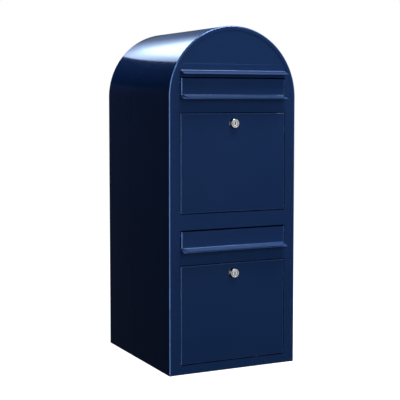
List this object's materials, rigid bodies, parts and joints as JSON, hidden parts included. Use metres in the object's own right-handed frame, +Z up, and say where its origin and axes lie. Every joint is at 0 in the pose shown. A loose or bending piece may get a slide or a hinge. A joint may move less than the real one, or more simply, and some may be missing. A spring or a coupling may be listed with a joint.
{
  "type": "double mailbox",
  "caption": "Upright steel mailbox with a round-arched top, mail slots behind hinged flaps, and bottom-hinged doors with cam locks.",
  "frame": {"origin": "middle of the base's four fixing holes, on the underside of the base", "axes": "+Z up, -Y out of the front towards whoever posts mail, +X to that person's right"},
  "size_m": [0.38, 0.4583, 0.925],
  "materials": {
    "blue_paint": "gloss",
    "zinc_steel": "satin",
    "lock_chrome": "polished",
    "black_rubber": "matte"
  },
  "bodies": {
    "cabinet": {"hull_shell": "blue_paint", "front_panel": "blue_paint", "visor": "blue_paint", "back_panel": "blue_paint", "back_rivets": "zinc_steel", "base_plate": "blue_paint", "divider_shelf": "blue_paint", "upper_slot_sill": "blue_paint", "upper_mail_guard": "blue_paint", "upper_striker": "zinc_steel", "upper_door_brackets": "zinc_steel", "upper_door_pins": "zinc_steel", "upper_door_stops": "zinc_steel", "upper_door_bumpers": "black_rubber", "upper_flap_brackets": "zinc_steel", "upper_flap_pins": "zinc_steel", "upper_flap_bumpers": "black_rubber", "lower_slot_sill": "blue_paint", "lower_mail_guard": "blue_paint", "lower_striker": "zinc_steel", "lower_door_brackets": "zinc_steel", "lower_door_pins": "zinc_steel", "lower_door_stops": "zinc_steel", "lower_door_bumpers": "black_rubber", "lower_flap_brackets": "zinc_steel", "lower_flap_pins": "zinc_steel", "lower_flap_bumpers": "black_rubber"},
    "upper_door": {"upper_door_panel": "blue_paint", "upper_door_stiffener": "blue_paint", "upper_lock_housing": "lock_chrome", "upper_lock_nut": "zinc_steel"},
    "upper_lock": {"upper_lock_plug": "lock_chrome", "upper_lock_cam": "zinc_steel", "upper_cam_screw": "zinc_steel"},
    "upper_flap": {"upper_flap_panel": "blue_paint"},
    "lower_door": {"lower_door_panel": "blue_paint", "lower_door_stiffener": "blue_paint", "lower_lock_housing": "lock_chrome", "lower_lock_nut": "zinc_steel"},
    "lower_lock": {"lower_lock_plug": "lock_chrome", "lower_lock_cam": "zinc_steel", "lower_cam_screw": "zinc_steel"},
    "lower_flap": {"lower_flap_panel": "blue_paint"}
  },
  "joints": [
    {"name": "upper_door_hinge", "type": "hinge", "parent": "cabinet", "child": "upper_door", "pos_m": [0, -0.2125, 0.4345], "axis": [1, 0, 0], "range_deg": [0, 90]},
    {"name": "upper_lock_turn", "type": "hinge", "parent": "upper_door", "child": "upper_lock", "pos_m": [0, -0.2175, 0.666], "axis": [0, 1, 0], "range_deg": [0, 90]},
    {"name": "upper_flap_hinge", "type": "hinge", "parent": "cabinet", "child": "upper_flap", "pos_m": [0, -0.2125, 0.775], "axis": [-1, 0, 0], "range_deg": [0, 75]},
    {"name": "lower_door_hinge", "type": "hinge", "parent": "cabinet", "child": "lower_door", "pos_m": [0, -0.2125, 0.0315], "axis": [1, 0, 0], "range_deg": [0, 90]},
    {"name": "lower_lock_turn", "type": "hinge", "parent": "lower_door", "child": "lower_lock", "pos_m": [0, -0.2175, 0.263], "axis": [0, 1, 0], "range_deg": [0, 90]},
    {"name": "lower_flap_hinge", "type": "hinge", "parent": "cabinet", "child": "lower_flap", "pos_m": [0, -0.2125, 0.372], "axis": [-1, 0, 0], "range_deg": [0, 75]}
  ]
}
